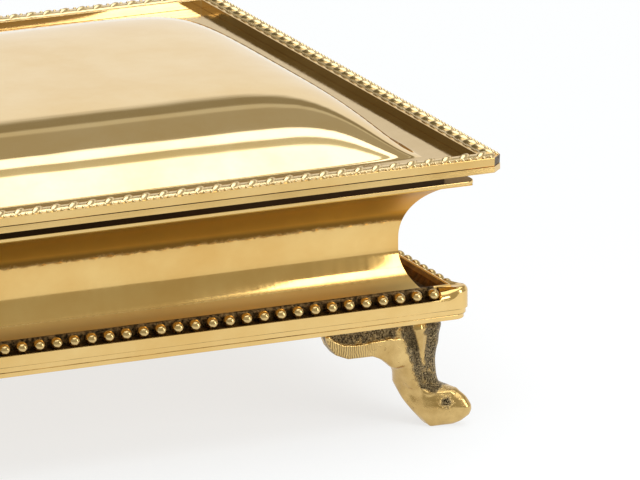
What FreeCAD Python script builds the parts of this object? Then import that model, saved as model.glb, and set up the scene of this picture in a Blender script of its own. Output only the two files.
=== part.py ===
import FreeCAD, Part
import math
import os
import Sketcher
from FreeCAD import Placement, Rotation, Vector

# Brass casket: hinged lid with a pressed pillow dome, concave mitred walls, pearled base border, cast feet.
# Millimetres. The origin is on the floor under the middle of the box: X to the right, -Y to the front, Z up.

DRIVING_SIZES = {
    # lid
    "lid_length": 210.0,
    "lid_depth": 150.0,
    "lid_sheet": 1.3,
    "lid_gap": 2.6,
    "rim_width": 4.5,
    "rim_face": 1.9,
    "rope_width": 2.6,
    "rope_height": 1.2,
    "rope_inset": 0.6,
    "dome_inset": 13.0,
    "dome_rise": 9.8,
    "dome_hollow_inset": 4.0,
    # flange and walls
    "flange_inset": 4.5,
    "flange_sheet": 0.8,
    "flange_reveal": 0.5,
    "wall_sheet": 1.0,
    "wall_lip": 0.3,
    "cove_drop": 13.0,
    "waist_inset": 16.7,
    "waist_height": 2.0,
    "flare_drop": 9.6,
    "flare_reach": 4.7,
    # base border
    "base_inset": 5.0,
    "base_corner": 3.0,
    "moulding_face": 2.4,
    "moulding_ledge": 2.0,
    "moulding_width": 9.7,
    "ridge_inset": 2.9,
    "ridge_batter": 0.4,
    "ridge_crest": 0.6,
    "ridge_rise": 2.2,
    "ridge_slope": 1.3,
    "pearl_seat": 1.9,
    "pearl_diameter": 2.4,
    "pearl_crown": 1.1,
    "pearl_belly_rise": 0.8,
    "pearl_crown_rise": 1.1,
    "pearl_pitch": 3.9,
    "pearl_inset": 1.6,
    "pearl_land": 6.5,
    "pearl_strip_width": 2.0,
    "pearl_strip_height": 0.4,
    "floor_sheet": 1.3,
    "bottom_sheet": 1.1,
    "plate_step": 0.3,
    # feet: wings, measured from the base's corner along its sides
    "foot_height": 23.4,
    "wing_inset": 3.0,
    "wing_start": 9.5,
    "wing_tip": 33.6,
    "wing_sheet": 3.6,
    "wing_depth": 6.6,
    "wing_tip_depth": 1.0,
    "wing_slant": 1.9,
    "wing_slant_depth": 4.0,
    "wing_lobe": 6.0,
    "bracket_start": 20.0,
    "bracket_bend": 17.0,
    "bracket_bend_drop": 8.6,
    "bracket_root": 14.5,
    "bracket_drop": 11.5,
    "panel_start": 12.5,
    "panel_border": 1.4,
    "panel_recess": 0.6,
    # feet: leg and toe, measured from the base's corner along the diagonal, with levels from the floor
    "leg_chamfer": 2.2,
    "sole_outer": 5.0,
    "sole_inner": 10.6,
    "sole_width": 6.6,
    "welt_level": 1.2,
    "welt_outer": 2.2,
    "welt_inner": 11.4,
    "welt_width": 8.2,
    "toe_level": 3.6,
    "toe_outer": 0.2,
    "toe_inner": 13.2,
    "toe_width": 9.2,
    "vamp_level": 7.8,
    "vamp_outer": 3.6,
    "vamp_inner": 16.2,
    "vamp_width": 7.4,
    "heel_outer": 7.0,
    "heel_inner": 13.0,
    "heel_width": 6.8,
    "ankle_level": 9.6,
    "ankle_outer": 7.8,
    "ankle_inner": 17.8,
    "ankle_width": 7.6,
    "knee_drop": 7.0,
    "knee_outer": 8.4,
    "knee_inner": 21.4,
    "knee_width": 10.4,
    "seat_outer": 8.1,
    "seat_inner": 25.0,
    "seat_width": 13.0,
    # wooden lining
    "liner_board": 3.0,
    "liner_gap": 0.3,
    "liner_below_flange": 0.3,
    "lining_inset": 9.5,
    "lining_back_gap": 0.5,
    # hinges
    "hinge_end": 50.0,
    "hinge_length": 24.0,
    "hinge_leaf": 0.7,
    "hinge_reach": 8.0,
    "hinge_knuckle": 8.0,
    "hinge_barrel": 1.7,
    "hinge_pin": 0.8,
    "hinge_play": 0.05,
    "hinge_side_play": 0.2,
}

# Which way each side faces: the turn about Z that brings a strip facing +Y to that side.
SIDE_TURNS = {"back": 0.0, "left": 90.0, "front": 180.0, "right": 270.0}
# The signs of X and Y at each corner, and the turn there that points a foot's two wings inwards.
CORNER_SIGNS = {"front_left": (-1, -1), "front_right": (1, -1), "back_right": (1, 1), "back_left": (-1, 1)}
CORNER_TURNS = {"front_left": 0.0, "front_right": 90.0, "back_right": 180.0, "back_left": 270.0}
HINGE_SIDES = {"left": -1, "right": 1}
# How far a cutting outline runs past the metal that it cuts.
CUT_SPARE = 1.0
HALF_ROOT = math.sqrt(0.5)
# Corners of a pearl's rings, seen from above, and the even powers of the dome's curves along X and Y.
PEARL_SIDES = 5
DOME_POWERS = (8, 4)


class Size:
    # A number together with the spreadsheet formula that gives it.
    def __init__(self, value, formula):
        self.value = value
        self.formula = formula

    def __add__(self, other):
        other = as_size(other)
        return Size(self.value + other.value, f"({self.formula} + {other.formula})")

    def __sub__(self, other):
        other = as_size(other)
        return Size(self.value - other.value, f"({self.formula} - {other.formula})")

    def __mul__(self, other):
        other = as_size(other)
        return Size(self.value * other.value, f"({self.formula} * {other.formula})")

    def __truediv__(self, other):
        other = as_size(other)
        return Size(self.value / other.value, f"({self.formula} / {other.formula})")

    def __radd__(self, other):
        return as_size(other) + self

    def __rsub__(self, other):
        return as_size(other) - self

    def __rmul__(self, other):
        return as_size(other) * self

    def __neg__(self):
        return 0 - self


def as_size(quantity):
    return quantity if isinstance(quantity, Size) else Size(float(quantity), str(float(quantity)))


def fill_sheet(sheet):
    for row, (alias, value) in enumerate(DRIVING_SIZES.items(), start=1):
        sheet.set(f"A{row}", alias)
        sheet.set(f"B{row}", str(value))
        sheet.setAlias(f"B{row}", alias)


def bind(feature, properties):
    for name, size in properties.items():
        feature.setExpression(name, as_size(size).formula)


# Sketches

def origin_feature(body, role):
    return next(f for f in body.Origin.OriginFeatures if f.Role == role)


def new_sketch(body, name, plane, height=None, turn=0.0):
    sketch = body.newObject("Sketcher::SketchObject", name)
    sketch.AttachmentSupport = (origin_feature(body, plane), "")
    sketch.MapMode = "FlatFace"
    sketch.AttachmentOffset = Placement(Vector(), Rotation(Vector(0, 0, 1), turn))
    if height is not None:
        bind(sketch, {"AttachmentOffset.Base.z": height})
    return sketch


def pin_point(sketch, geometry, point, x=None, y=None):
    for kind, size in (("DistanceX", x), ("DistanceY", y)):
        if size is not None:
            size = as_size(size)
            index = sketch.addConstraint(Sketcher.Constraint(kind, -1, 1, geometry, point, size.value))
            sketch.setExpression(f"Constraints[{index}]", size.formula)


def arc_centre(start, end, centre_x, centre_y):
    # The centre of an arc from start to end, when one of its two coordinates is known.
    (px, py), (qx, qy) = start, end
    if centre_y is None:
        known = centre_x.value
        return known, ((qx - known) ** 2 - (px - known) ** 2 + qy ** 2 - py ** 2) / (2 * (qy - py))
    known = centre_y.value
    return ((qy - known) ** 2 - (py - known) ** 2 + qx ** 2 - px ** 2) / (2 * (qx - px)), known


def draw_outline(sketch, corners):
    # Each corner is (x, y), followed by a straight side, or (x, y, axis, place), followed by an arc whose
    # centre lies at that place on that axis.
    places = [(as_size(c[0]), as_size(c[1])) for c in corners]
    values = [(x.value, y.value) for x, y in places]
    starts, ends = [], []
    for i, corner in enumerate(corners):
        here, there = values[i], values[(i + 1) % len(corners)]
        if len(corner) == 2:
            index = sketch.addGeometry(Part.LineSegment(Vector(*here), Vector(*there)), False)
            starts.append((index, 1))
            ends.append((index, 2))
            continue
        place = as_size(corner[3])
        centre_x, centre_y = (place, None) if corner[2] == "x" else (None, place)
        centre = arc_centre(here, there, centre_x, centre_y)
        angles = [math.atan2(p[1] - centre[1], p[0] - centre[0]) for p in (here, there)]
        forward = math.sin(angles[1] - angles[0]) > 0
        circle = Part.Circle(Vector(*centre), Vector(0, 0, 1), math.dist(here, centre))
        turn = angles if forward else angles[::-1]
        index = sketch.addGeometry(Part.ArcOfCircle(circle, *turn), False)
        starts.append((index, 1 if forward else 2))
        ends.append((index, 2 if forward else 1))
        pin_point(sketch, index, 3, centre_x, centre_y)
    for i in range(len(corners)):
        sketch.addConstraint(Sketcher.Constraint("Coincident", *ends[i - 1], *starts[i]))
        pin_point(sketch, *starts[i], *places[i])


def rectangle(x0, x1, y0, y1):
    return [(x0, y0), (x1, y0), (x1, y1), (x0, y1)]


def rounded_rectangle(x0, x1, y0, y1, radius):
    return [
        (x0 + radius, y0),
        (x1 - radius, y0, "x", x1 - radius),
        (x1, y0 + radius),
        (x1, y1 - radius, "x", x1 - radius),
        (x1 - radius, y1),
        (x0 + radius, y1, "x", x0 + radius),
        (x0, y1 - radius),
        (x0, y0 + radius, "x", x0 + radius),
    ]


def chamfered_rectangle(x0, x1, y0, y1, cut):
    return [
        (x0 + cut, y0),
        (x1 - cut, y0),
        (x1, y0 + cut),
        (x1, y1 - cut),
        (x1 - cut, y1),
        (x0 + cut, y1),
        (x0, y1 - cut),
        (x0, y0 + cut),
    ]


def draw_circle(sketch, x, y, diameter):
    x, y, diameter = as_size(x), as_size(y), as_size(diameter)
    circle = Part.Circle(Vector(x.value, y.value), Vector(0, 0, 1), diameter.value / 2)
    index = sketch.addGeometry(circle, False)
    pin_point(sketch, index, 3, x, y)
    constraint = sketch.addConstraint(Sketcher.Constraint("Diameter", index, diameter.value))
    sketch.setExpression(f"Constraints[{constraint}]", diameter.formula)


# Features

def new_body(label, turn=0.0):
    body = doc.addObject("PartDesign::Body", label)
    body.Label = label
    body.Placement = Placement(Vector(), Rotation(Vector(0, 0, 1), turn))
    return body


def pad(body, sketch, length, symmetric=False):
    feature = body.newObject("PartDesign::Pad", f"{sketch.Name}_pad")
    feature.Profile = sketch
    feature.SideType = "Symmetric" if symmetric else "One side"
    bind(feature, {"Length": length})


def cut_through(body, sketch):
    before = body.Tip
    feature = body.newObject("PartDesign::Pocket", f"{sketch.Name}_cut")
    feature.Profile = sketch
    feature.Type = "ThroughAll"
    feature.SideType = "Symmetric"
    cuts.append((before, feature))


def cut_in(body, sketch, depth, away=False):
    # away is set where the solid lies on the side that the sketch's normal points to.
    before = body.Tip
    feature = body.newObject("PartDesign::Pocket", f"{sketch.Name}_cut")
    feature.Profile = sketch
    feature.Reversed = away
    bind(feature, {"Length": depth})
    cuts.append((before, feature))


def faceted_solid(loops):
    # A solid with flat facets between rings of as many corners each, from the bottom up.
    facets = [loops[0], loops[-1]]
    for low, high in zip(loops, loops[1:]):
        facets += [[low[i - 1], low[i], high[i], high[i - 1]] for i in range(len(low))]
    return Part.Solid(Part.Shell([Part.Face(Part.makePolygon(f + f[:1])) for f in facets]))


def plain_solid(kind, label, sizes, base):
    feature = doc.addObject(kind, label)
    feature.Label = label
    bind(feature, sizes)
    bind(feature, dict(zip(("Placement.Base.x", "Placement.Base.y", "Placement.Base.z"), base)))
    return feature


def shaped_solid(label, shape, place=Vector(), turn=0.0):
    feature = doc.addObject("Part::Feature", label)
    feature.Label = label
    feature.Shape = shape
    feature.Placement = Placement(place, Rotation(Vector(0, 0, 1), turn))
    return feature


doc = FreeCAD.newDocument("brass_casket")
sheet = doc.addObject("Spreadsheet::Sheet", "dims")
fill_sheet(sheet)
doc.recompute()
dim = {alias: Size(value, f"dims.{alias}") for alias, value in DRIVING_SIZES.items()}
parts = []
cuts = []

# Half sizes of the lid, to which every inset is measured, and the levels from the floor up.
half_length = dim["lid_length"] / 2
half_depth = dim["lid_depth"] / 2
bottom_top = dim["foot_height"] + dim["bottom_sheet"]
floor_top = bottom_top + dim["floor_sheet"]
ledge_top = floor_top + dim["moulding_ledge"]
channel_floor = floor_top + dim["moulding_face"]
waist_low = ledge_top + dim["flare_drop"]
waist_high = waist_low + dim["waist_height"]
cove_high = waist_high + dim["cove_drop"]
wall_top = cove_high + dim["wall_lip"]
flange_top = wall_top + dim["flange_sheet"]
lid_under = flange_top + dim["lid_gap"]
lid_top = lid_under + dim["lid_sheet"]
rim_top = lid_top + dim["rim_face"]
liner_inset = dim["waist_inset"] + dim["wall_sheet"] + dim["liner_gap"]
side_halves = {
    "front": (half_length, half_depth),
    "back": (half_length, half_depth),
    "left": (half_depth, half_length),
    "right": (half_depth, half_length),
}


# Mitred strips, which the lid's rim, the walls and the base border share

def mitre_outline(end, along, across, width, radius):
    # What is cut off one end: everything past the 45 degree line, and past a round corner if there is one.
    far_x = end * (along + CUT_SPARE)
    low_y = across - width - CUT_SPARE
    inner = (end * (along - width - CUT_SPARE), low_y)
    if radius is None:
        return [(far_x, across + CUT_SPARE), (far_x, low_y), inner]
    round_x = end * (along - radius)
    mid_x = end * (along - radius + radius * HALF_ROOT)
    mid_y = across - radius + radius * HALF_ROOT
    return [
        (round_x, across, "x", round_x),
        (mid_x, mid_y),
        inner,
        (far_x, low_y),
        (far_x, across + CUT_SPARE),
        (round_x, across + CUT_SPARE),
    ]


def mitred_strip(label, side, inset, width, profile, radius=None):
    along, across = (half - inset for half in side_halves[side])
    body = new_body(label, SIDE_TURNS[side])
    outline = new_sketch(body, f"{label}_profile", "YZ_Plane")
    draw_outline(outline, profile(across))
    pad(body, outline, 2 * along, symmetric=True)
    mitre = new_sketch(body, f"{label}_mitre", "XY_Plane")
    for end in (-1, 1):
        draw_outline(mitre, mitre_outline(end, along, across, width, radius))
    cut_through(body, mitre)
    parts.append(body)


def rim_profile(edge):
    return rectangle(edge - dim["rim_width"], edge, lid_top, rim_top)


def rope_profile(edge):
    # A low arch on a flat sole.
    inner = edge - dim["rope_width"]
    middle = edge - dim["rope_width"] / 2
    crest = rim_top + dim["rope_height"]
    return [(inner, rim_top), (edge, rim_top, "x", middle), (middle, crest, "x", middle)]


def wall_profile(edge):
    # edge is the wall's upper outer edge; the cove and the flare both run into the straight waist.
    waist = edge - (dim["waist_inset"] - dim["flange_inset"] - dim["flange_reveal"])
    inside = waist - dim["wall_sheet"]
    foot = waist + dim["flare_reach"]
    cove_reach = edge - waist
    cove_radius = (cove_reach * cove_reach + dim["cove_drop"] * dim["cove_drop"]) / (2 * cove_reach)
    flare_reach = dim["flare_reach"]
    flare_radius = (flare_reach * flare_reach + dim["flare_drop"] * dim["flare_drop"]) / (2 * flare_reach)
    top_drop = dim["cove_drop"] + dim["wall_lip"]
    top_inner = waist + cove_radius - chord(cove_radius + dim["wall_sheet"], top_drop)
    foot_inner = waist + flare_radius - chord(flare_radius + dim["wall_sheet"], dim["flare_drop"])
    return [
        (edge, wall_top),
        (edge, cove_high, "y", waist_high),
        (waist, waist_high),
        (waist, waist_low, "y", waist_low),
        (foot, ledge_top),
        (foot_inner, ledge_top, "y", waist_low),
        (inside, waist_low),
        (inside, waist_high, "y", waist_high),
        (top_inner, wall_top),
    ]


def chord(radius, drop):
    inside = radius * radius - drop * drop
    return Size(math.sqrt(inside.value), f"sqrt({inside.formula})")


def moulding_profile(edge):
    # Plain face, channel for the pearls, raised ridge, and a ledge that carries the wall.
    ridge = edge - dim["ridge_inset"]
    crest = ridge - dim["ridge_batter"]
    crest_inner = crest - dim["ridge_crest"]
    ridge_top = channel_floor + dim["ridge_rise"]
    inner = edge - dim["moulding_width"]
    return [
        (edge, floor_top),
        (edge, channel_floor),
        (ridge, channel_floor),
        (crest, ridge_top),
        (crest_inner, ridge_top),
        (crest_inner - dim["ridge_slope"], ledge_top),
        (inner, ledge_top),
        (inner, floor_top),
    ]


def pearl_loop(x, y, diameter, level):
    turns = [2 * math.pi * (i + 0.5) / PEARL_SIDES for i in range(PEARL_SIDES)]
    return [Vector(x + diameter / 2 * math.cos(t), y + diameter / 2 * math.sin(t), level) for t in turns]


def pearl_row(label, side):
    # Pearls on a thin strip that lies in the moulding's channel.
    along, across = (half.value - sheet.base_inset for half in side_halves[side])
    line = across - sheet.pearl_inset
    steps = math.floor(2 * (along - sheet.pearl_land) / sheet.pearl_pitch)
    run = steps * sheet.pearl_pitch
    length, width = run + sheet.pearl_diameter, sheet.pearl_strip_width
    corner = Vector(-length / 2, line - width / 2, channel_floor.value)
    strip = Part.makeBox(length, width, sheet.pearl_strip_height, corner)
    seat = channel_floor.value + sheet.pearl_strip_height
    belly = seat + sheet.pearl_belly_rise
    crown = belly + sheet.pearl_crown_rise
    rings = [(sheet.pearl_seat, seat), (sheet.pearl_diameter, belly), (sheet.pearl_crown, crown)]
    places = [i * sheet.pearl_pitch - run / 2 for i in range(steps + 1)]
    beads = [faceted_solid([pearl_loop(x, line, *ring) for ring in rings]) for x in places]
    parts.append(shaped_solid(label, strip.multiFuse(beads).Solids[0], turn=SIDE_TURNS[side]))


for side in SIDE_TURNS:
    wall_edge = dim["flange_inset"] + dim["flange_reveal"]
    wall_width = dim["waist_inset"] + dim["wall_sheet"] - wall_edge
    mitred_strip(f"lid_rim_{side}", side, as_size(0), dim["rim_width"], rim_profile)
    mitred_strip(f"lid_rope_{side}", side, dim["rope_inset"], dim["rope_width"], rope_profile)
    mitred_strip(f"wall_{side}", side, wall_edge, wall_width, wall_profile)
    border = (dim["base_inset"], dim["moulding_width"], moulding_profile, dim["base_corner"])
    mitred_strip(f"base_moulding_{side}", side, *border)
    pearl_row(f"base_pearls_{side}", side)


# Hinge line: over the flange's back edge, halfway up the gap under the lid, with a hinge near each end.
hinge_x = half_length - dim["hinge_end"]
hinge_y = half_depth - dim["flange_inset"]
hinge_z = flange_top + dim["lid_gap"] / 2


# Lid panel: flat margin round a pillow dome, which rises as (1 - u^8)(1 - v^4), hollow underneath

def dome_face(half_x, half_y):
    # On a span from -1 to 1 the Bezier ordinates of 1 - u^n are 0, 2, 0, 2 ... for an even n.
    power_x, power_y = DOME_POWERS
    surface = Part.BezierSurface()
    surface.increase(power_x, power_y)
    for i in range(power_x + 1):
        for j in range(power_y + 1):
            x = half_x * (2 * i / power_x - 1)
            y = half_y * (2 * j / power_y - 1)
            rise = sheet.dome_rise * (1 - (-1) ** i) * (1 - (-1) ** j)
            surface.setPole(i + 1, j + 1, Vector(x, y, lid_top.value + rise))
    return surface.toShape()


def vault(half_width, rise, length, axis):
    # A lying cylinder that rises over the underside of the lid, half_width to each side of the middle.
    radius = (half_width ** 2 + rise ** 2) / (2 * rise)
    start = axis * (-length / 2) + Vector(0, 0, lid_under.value + rise - radius)
    return Part.makeCylinder(radius, length, start, axis)


def lid_panel():
    half_x = half_length.value - sheet.dome_inset
    half_y = half_depth.value - sheet.dome_inset
    corner = Vector(-half_length.value, -half_depth.value, lid_under.value)
    margin = Part.makeBox(sheet.lid_length, sheet.lid_depth, sheet.lid_sheet, corner)
    space = Part.makeBox(sheet.lid_length, sheet.lid_depth, sheet.lid_sheet + sheet.dome_rise, corner)
    dome = dome_face(half_x, half_y).extrude(Vector(0, 0, -sheet.lid_sheet - sheet.dome_rise)).common(space)
    inset, rise = sheet.dome_hollow_inset, sheet.dome_rise
    hollow = vault(half_y - inset, rise, 2 * (half_x - inset), Vector(1, 0, 0))
    hollow = hollow.common(vault(half_x - inset, rise, 2 * (half_y - inset), Vector(0, 1, 0))).common(space)
    parts.append(shaped_solid("lid_panel", margin.fuse(dome).cut(hollow).removeSplitter().Solids[0]))


lid_panel()


# Flat plates

def plate(label, outline, low, thickness):
    body = new_body(label)
    sketch = new_sketch(body, f"{label}_outline", "XY_Plane", low)
    draw_outline(sketch, outline)
    pad(body, sketch, thickness)
    parts.append(body)
    return body


def inset_rectangle(inset):
    x, y = half_length - inset, half_depth - inset
    return rectangle(-x, x, -y, y)


def inset_rounded(inset, radius):
    x, y = half_length - inset, half_depth - inset
    return rounded_rectangle(-x, x, -y, y, radius)


flange = plate("top_flange", inset_rectangle(dim["flange_inset"]), wall_top, dim["flange_sheet"])
mouth = new_sketch(flange, "top_flange_mouth", "XY_Plane")
draw_outline(mouth, inset_rectangle(dim["waist_inset"] + dim["wall_sheet"]))
cut_through(flange, mouth)

floor_inset = dim["base_inset"] + dim["plate_step"]
bottom_inset = floor_inset + dim["plate_step"]
floor_outline = inset_rounded(floor_inset, dim["base_corner"])
bottom_outline = inset_rounded(bottom_inset, dim["base_corner"])
plate("base_plate", floor_outline, bottom_top, dim["floor_sheet"])
plate("bottom_plate", bottom_outline, dim["foot_height"], dim["bottom_sheet"])

lining_x = half_length - dim["lining_inset"]
lining_front = half_depth - dim["lining_inset"]
lining_back = hinge_y - dim["hinge_reach"] - dim["lining_back_gap"]
plate("lid_lining", rectangle(-lining_x, lining_x, -lining_front, lining_back), flange_top, dim["lid_gap"])


# Feet: two wings under the plates, and between them, on the diagonal, a leg that stands on a club toe

def diagonal_loop(name, level):
    # A chamfered section across the diagonal; its two ends are measured from the base's corner.
    outer, inner, width = (getattr(sheet, f"{name}_{size}") for size in ("outer", "inner", "width"))
    outline = chamfered_rectangle(outer, inner, -width / 2, width / 2, sheet.leg_chamfer)
    turned = [((along - across) * HALF_ROOT, (along + across) * HALF_ROOT) for along, across in outline]
    return [Vector(x, y, level) for x, y in turned]


def wing_outline():
    # A bar with a slanted drop at its tip, and a bracket that runs down into the leg.
    top = dim["foot_height"]
    under = top - dim["wing_depth"]
    tip = dim["wing_tip"]
    lobe = tip - dim["wing_lobe"]
    foot_of_bracket = top - dim["bracket_drop"]
    return [
        (dim["wing_start"], top),
        (tip, top),
        (tip, top - dim["wing_tip_depth"]),
        (tip - dim["wing_slant"], top - dim["wing_slant_depth"]),
        (lobe, under),
        (dim["bracket_start"], under),
        (dim["bracket_bend"], top - dim["bracket_bend_drop"]),
        (dim["bracket_root"], foot_of_bracket),
        (dim["wing_start"], foot_of_bracket),
    ]


def panel_outline():
    # The sunk panel on a wing's face, inside a raised border along the tip and the underside.
    top = dim["foot_height"]
    under = top - dim["wing_depth"] + dim["panel_border"]
    tip = dim["wing_tip"] - dim["wing_slant"] - dim["panel_border"]
    lobe = dim["wing_tip"] - dim["wing_lobe"]
    return [
        (dim["panel_start"], top + CUT_SPARE),
        (tip, top + CUT_SPARE),
        (tip, top - dim["wing_tip_depth"]),
        (lobe, under),
        (dim["panel_start"], under),
    ]


def add_wing(body, plane, outward):
    # outward is 1 where the plane's normal points away from the foot (XZ plane), and -1 on the YZ plane.
    inner = dim["wing_inset"] + dim["wing_sheet"]
    bar = new_sketch(body, f"{body.Label}_wing_{plane}", plane, -inner if outward > 0 else dim["wing_inset"])
    draw_outline(bar, wing_outline())
    pad(body, bar, dim["wing_sheet"])
    panel = new_sketch(body, f"{body.Label}_panel_{plane}", plane, -outward * dim["wing_inset"])
    draw_outline(panel, panel_outline())
    cut_in(body, panel, dim["panel_recess"], away=outward < 0)


def foot(label, sign_x, sign_y, turn):
    wings = new_body(f"{label}_wings", turn)
    corner_x = sign_x * (half_length - dim["base_inset"])
    corner_y = sign_y * (half_depth - dim["base_inset"])
    bind(wings, {"Placement.Base.x": corner_x, "Placement.Base.y": corner_y})
    add_wing(wings, "XZ_Plane", 1)
    add_wing(wings, "YZ_Plane", -1)
    club_levels = {"sole": 0.0, "welt": sheet.welt_level, "toe": sheet.toe_level, "vamp": sheet.vamp_level}
    leg_levels = {
        "heel": sheet.toe_level,
        "ankle": sheet.ankle_level,
        "knee": sheet.foot_height - sheet.knee_drop,
        "seat": sheet.foot_height,
    }
    place = Vector(corner_x.value, corner_y.value, 0)
    members = [wings]
    for name, levels in {"club": club_levels, "leg": leg_levels}.items():
        shape = faceted_solid([diagonal_loop(*level) for level in levels.items()])
        members.append(shaped_solid(f"{label}_{name}", shape, place, turn))
    casting = doc.addObject("Part::MultiFuse", label)
    casting.Label = label
    casting.Shapes = members
    casting.Refine = True
    parts.append(casting)


for corner, signs in CORNER_SIGNS.items():
    foot(f"foot_{corner}", *signs, CORNER_TURNS[corner])


# Wooden lining of the box: boards on the base plate, with the long ones between the ends of the mouth

liner_x = half_length - liner_inset
liner_y = half_depth - liner_inset
board = dim["liner_board"]
board_height = flange_top - dim["liner_below_flange"] - floor_top


def lining_board(label, x0, x1, y0, y1, height):
    sizes = {"Length": x1 - x0, "Width": y1 - y0, "Height": height}
    parts.append(plain_solid("Part::Box", label, sizes, (x0, y0, floor_top)))


lining_board("liner_front", -liner_x, liner_x, -liner_y, -liner_y + board, board_height)
lining_board("liner_back", -liner_x, liner_x, liner_y - board, liner_y, board_height)
lining_board("liner_left", -liner_x, -liner_x + board, -liner_y + board, liner_y - board, board_height)
lining_board("liner_right", liner_x - board, liner_x, -liner_y + board, liner_y - board, board_height)
lining_board("liner_floor", -liner_x + board, liner_x - board, -liner_y + board, liner_y - board, board)


# Butt hinges: the box leaf has the two outer knuckles, the lid leaf the one between them

half_hinge = dim["hinge_length"] / 2
half_knuckle = dim["hinge_knuckle"] / 2
barrel_room = dim["hinge_barrel"] / 2 + dim["hinge_side_play"]
box_leaf_gaps = [(-half_knuckle, half_knuckle)]
lid_leaf_gaps = [
    (-half_hinge - CUT_SPARE, -half_knuckle + dim["hinge_side_play"]),
    (half_knuckle - dim["hinge_side_play"], half_hinge + CUT_SPARE),
]


def hinge_leaf(label, sign, low, gaps):
    body = new_body(label)
    bind(body, {"Placement.Base.x": sign * hinge_x})
    plan = new_sketch(body, f"{label}_plan", "XY_Plane", low)
    draw_outline(plan, rectangle(-half_hinge, half_hinge, hinge_y - dim["hinge_reach"], hinge_y))
    pad(body, plan, dim["hinge_leaf"])
    barrel = new_sketch(body, f"{label}_barrel", "YZ_Plane")
    draw_circle(barrel, hinge_y, hinge_z, dim["hinge_barrel"])
    pad(body, barrel, dim["hinge_length"], symmetric=True)
    spaces = new_sketch(body, f"{label}_spaces", "XY_Plane")
    for x0, x1 in gaps:
        draw_outline(spaces, rectangle(x0, x1, hinge_y - barrel_room, hinge_y + barrel_room))
    cut_through(body, spaces)
    bore = new_sketch(body, f"{label}_bore", "YZ_Plane")
    draw_circle(bore, hinge_y, hinge_z, dim["hinge_pin"] + 2 * dim["hinge_play"])
    cut_through(body, bore)
    parts.append(body)


def hinge_pin(label, sign):
    base = (sign * hinge_x - half_hinge, hinge_y, hinge_z)
    sizes = {"Radius": dim["hinge_pin"] / 2, "Height": dim["hinge_length"]}
    pin = plain_solid("Part::Cylinder", label, sizes, base)
    pin.Placement = Placement(pin.Placement.Base, Rotation(Vector(0, 1, 0), 90))
    parts.append(pin)


for hand, sign in HINGE_SIDES.items():
    hinge_leaf(f"hinge_box_leaf_{hand}", sign, flange_top, box_leaf_gaps)
    hinge_leaf(f"hinge_lid_leaf_{hand}", sign, lid_under - dim["hinge_leaf"], lid_leaf_gaps)
    hinge_pin(f"hinge_pin_{hand}", sign)


# Build, test and write

doc.recompute()
for item in doc.Objects:
    if "Invalid" in item.State or "Error" in item.State:
        raise RuntimeError(f"{item.Name} failed: {item.State}")
for part in parts:
    if part.Shape.isNull() or not part.Shape.isValid() or not part.Shape.Solids:
        raise RuntimeError(f"{part.Label} has no valid solid")
for before, cut in cuts:
    if cut.Shape.Volume >= before.Shape.Volume:
        raise RuntimeError(f"{cut.Name} cuts nothing")
os.makedirs("parts", exist_ok=True)
for part in parts:
    part.Shape.exportStep(f"parts/{part.Label}.step")
print(f"{len(parts)} parts written")
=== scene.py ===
import math

import bmesh
import bpy
from mathutils import Matrix, Vector


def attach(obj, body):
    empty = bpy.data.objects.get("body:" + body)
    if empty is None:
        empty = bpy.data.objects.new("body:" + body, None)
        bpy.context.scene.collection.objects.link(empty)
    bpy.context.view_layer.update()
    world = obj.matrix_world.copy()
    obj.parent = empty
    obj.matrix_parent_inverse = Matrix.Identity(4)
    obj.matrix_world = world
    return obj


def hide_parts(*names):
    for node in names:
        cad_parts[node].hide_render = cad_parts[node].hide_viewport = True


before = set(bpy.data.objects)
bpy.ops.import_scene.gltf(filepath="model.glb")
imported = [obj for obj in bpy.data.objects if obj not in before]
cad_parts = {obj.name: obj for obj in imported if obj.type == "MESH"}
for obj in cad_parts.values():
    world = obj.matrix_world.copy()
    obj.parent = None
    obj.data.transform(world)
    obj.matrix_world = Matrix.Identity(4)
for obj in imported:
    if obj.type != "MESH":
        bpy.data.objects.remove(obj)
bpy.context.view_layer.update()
mm = 0.001
ops = bmesh.ops
print("frame loaded:", len(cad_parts), "nodes")


# driving dimensions in mm: half sizes, corners, and levels where pieces meet

lidHalf = (105.0, 75.0)
lidCorner = 2.4
baseHalf = (100.0, 70.0)
baseCorner = 3.0
footTop = 23.4
floorLow = 24.5
floorTop = 25.8
lidTop = 57.4
rimTop = 59.3
sides = ("front", "back", "left", "right")
# the corners round the box, with the signs of their x and y
corners = {
    "back_right": (1, 1), "back_left": (-1, 1), "front_left": (-1, -1), "front_right": (1, -1),
}


# shared helpers

quarter = math.pi / 2
root = math.sqrt(0.5)
# shares of a face's normal
facing = {"little": 0.2, "some": 0.3, "half": 0.5, "most": 0.9}
# degrees from which an edge is sharp, and steps of a softened edge
edgeLook = {"sharp": 35.0, "steps": 2}
# the part of a noise's range that is used
noiseSpan = (0.3, 0.7)
# a mix node's sockets for the factor, two colours and their result
mixInputs = (0, 6, 7)
mixOutput = 2


def feed(tree, socket, value):
    # an output is linked, anything else is set
    if isinstance(value, bpy.types.NodeSocket):
        tree.links.new(value, socket)
    else:
        socket.default_value = value


def opaque(colour):
    return (*colour, 1.0)


def addNode(tree, kind, settings=None, inputs=None):
    node = tree.nodes.new("ShaderNode" + kind)
    for name, value in (settings or {}).items():
        setattr(node, name, value)
    for name, value in (inputs or {}).items():
        feed(tree, node.inputs[name], value)
    return node


def addRamp(tree, factor, stops):
    ramp = addNode(tree, "ValToRGB", inputs={"Fac": factor})
    elements = ramp.color_ramp.elements
    while len(elements) < len(stops):
        elements.new(0.5)
    for element, (place, colour) in zip(elements, stops):
        element.position = place
        element.color = opaque(colour)
    return ramp.outputs["Color"]


def addBlend(tree, factor, places, colours):
    return addRamp(tree, factor, list(zip(places, colours)))


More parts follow.
